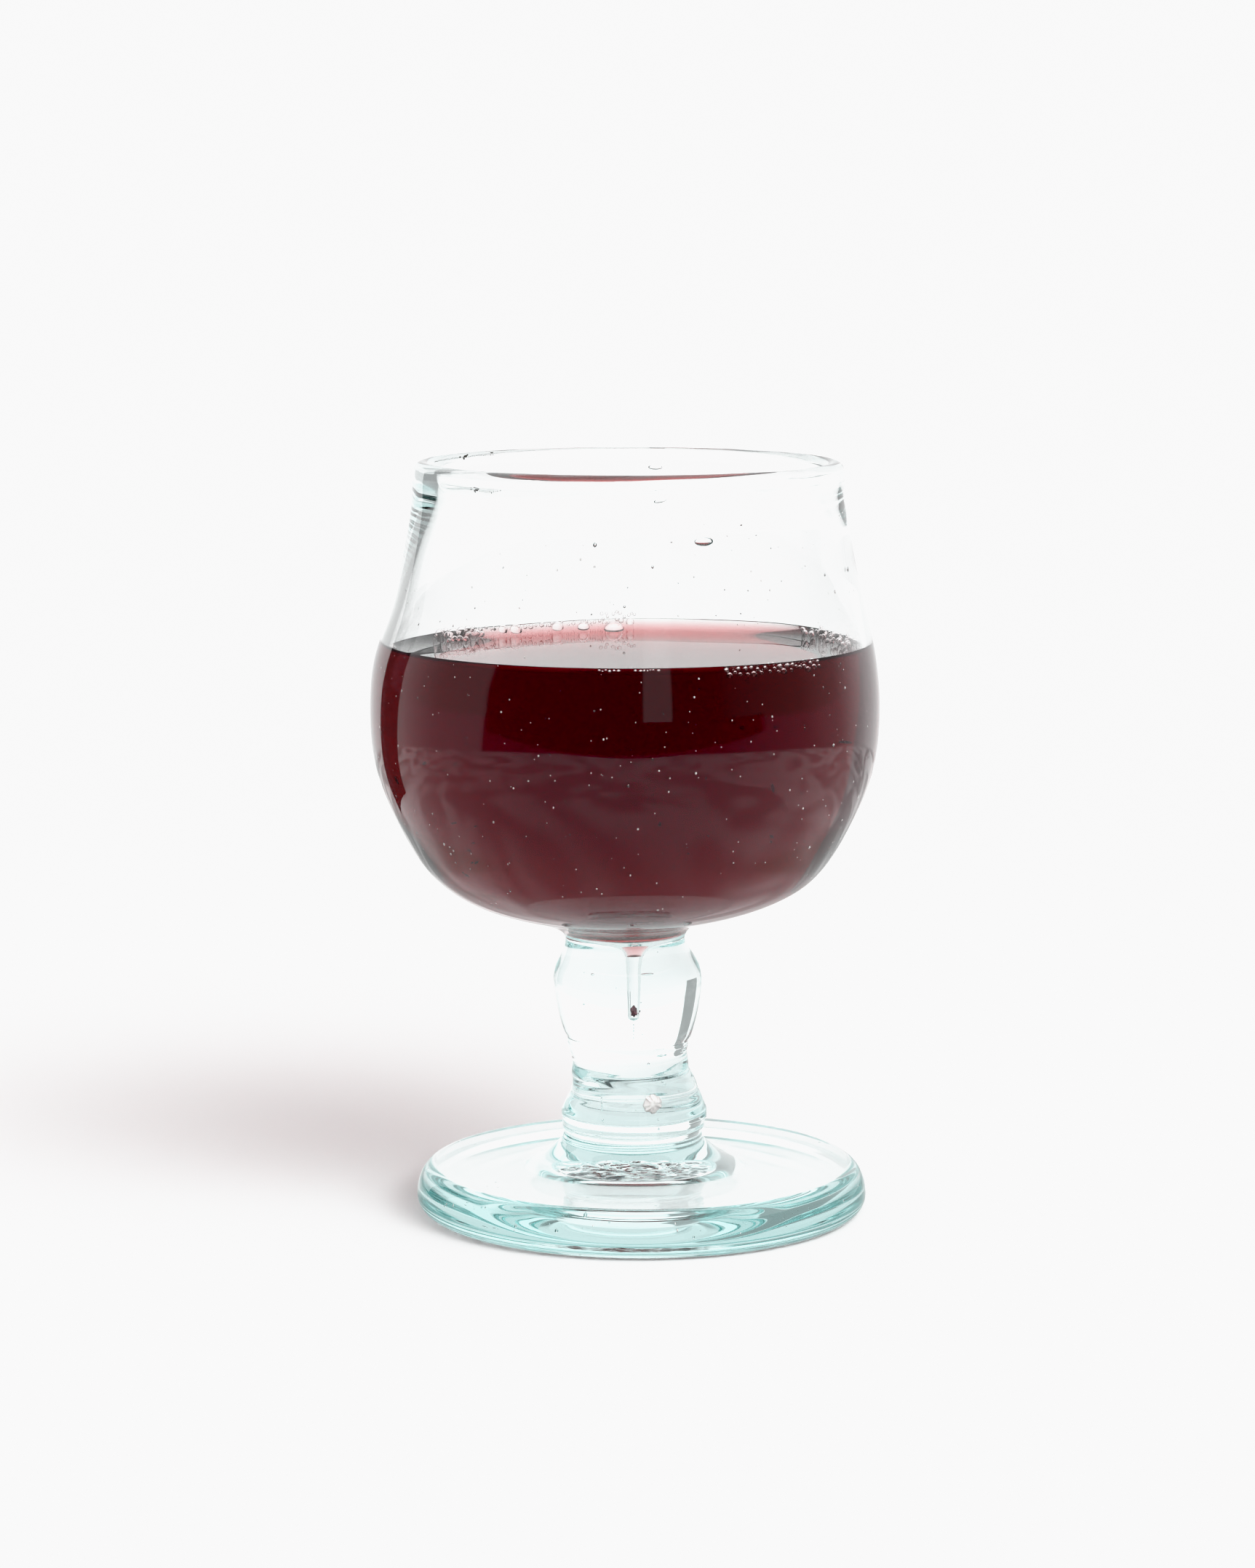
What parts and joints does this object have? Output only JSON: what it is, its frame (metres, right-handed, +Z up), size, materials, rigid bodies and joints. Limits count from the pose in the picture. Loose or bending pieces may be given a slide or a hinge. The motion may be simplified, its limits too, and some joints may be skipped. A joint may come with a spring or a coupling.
{
  "type": "glass of red wine",
  "caption": "Stemmed goblet of thick hand-blown recycled glass, with a knobbed stem and a disc foot, part full of red wine with bubbles round its edge.",
  "frame": {"origin": "middle of the bounding box in X and Y, on the plane that the foot rests on", "axes": "+Z up, from the foot to the lip; -Y faces the side shown in the picture"},
  "size_m": [0.086, 0.086, 0.128],
  "materials": {
    "glass": "clear blown glass with a pale aqua tint in its thick parts",
    "wine": "clear dark red liquid with a glossy surface"
  },
  "bodies": {
    "root": {"glass": "glass", "wine": "wine"}
  },
  "joints": []
}
